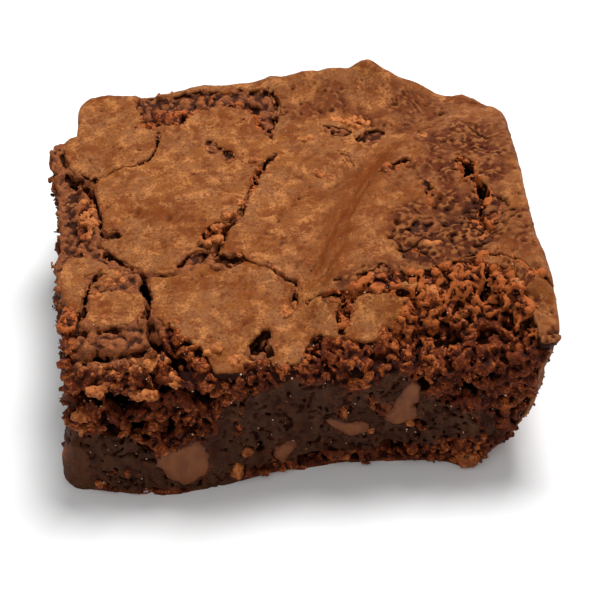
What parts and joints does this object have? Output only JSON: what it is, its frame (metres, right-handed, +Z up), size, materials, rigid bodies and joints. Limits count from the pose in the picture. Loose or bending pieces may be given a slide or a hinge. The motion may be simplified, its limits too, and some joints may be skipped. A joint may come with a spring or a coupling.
{
  "type": "chocolate brownie",
  "caption": "Square corner piece of a chocolate brownie with a thin cracked crust, a cut crumbly front and chocolate chips set in its cut sides.",
  "frame": {"origin": "middle of the piece's box on the plane of its flat base", "axes": "+Z up, -Y out of the cut front face, +X out of the side that baked against the tin"},
  "size_m": [0.0808, 0.0758, 0.0298],
  "materials": {
    "crumb": "matte, crumbly",
    "crust": "matte, papery",
    "chip": "smooth, dull satin"
  },
  "bodies": {
    "root": {"brownie": "crumb", "chip_1": "chip", "chip_2": "chip", "chip_3": "chip", "chip_4": "chip", "chip_5": "chip", "chip_6": "chip", "chip_7": "chip"}
  },
  "joints": []
}
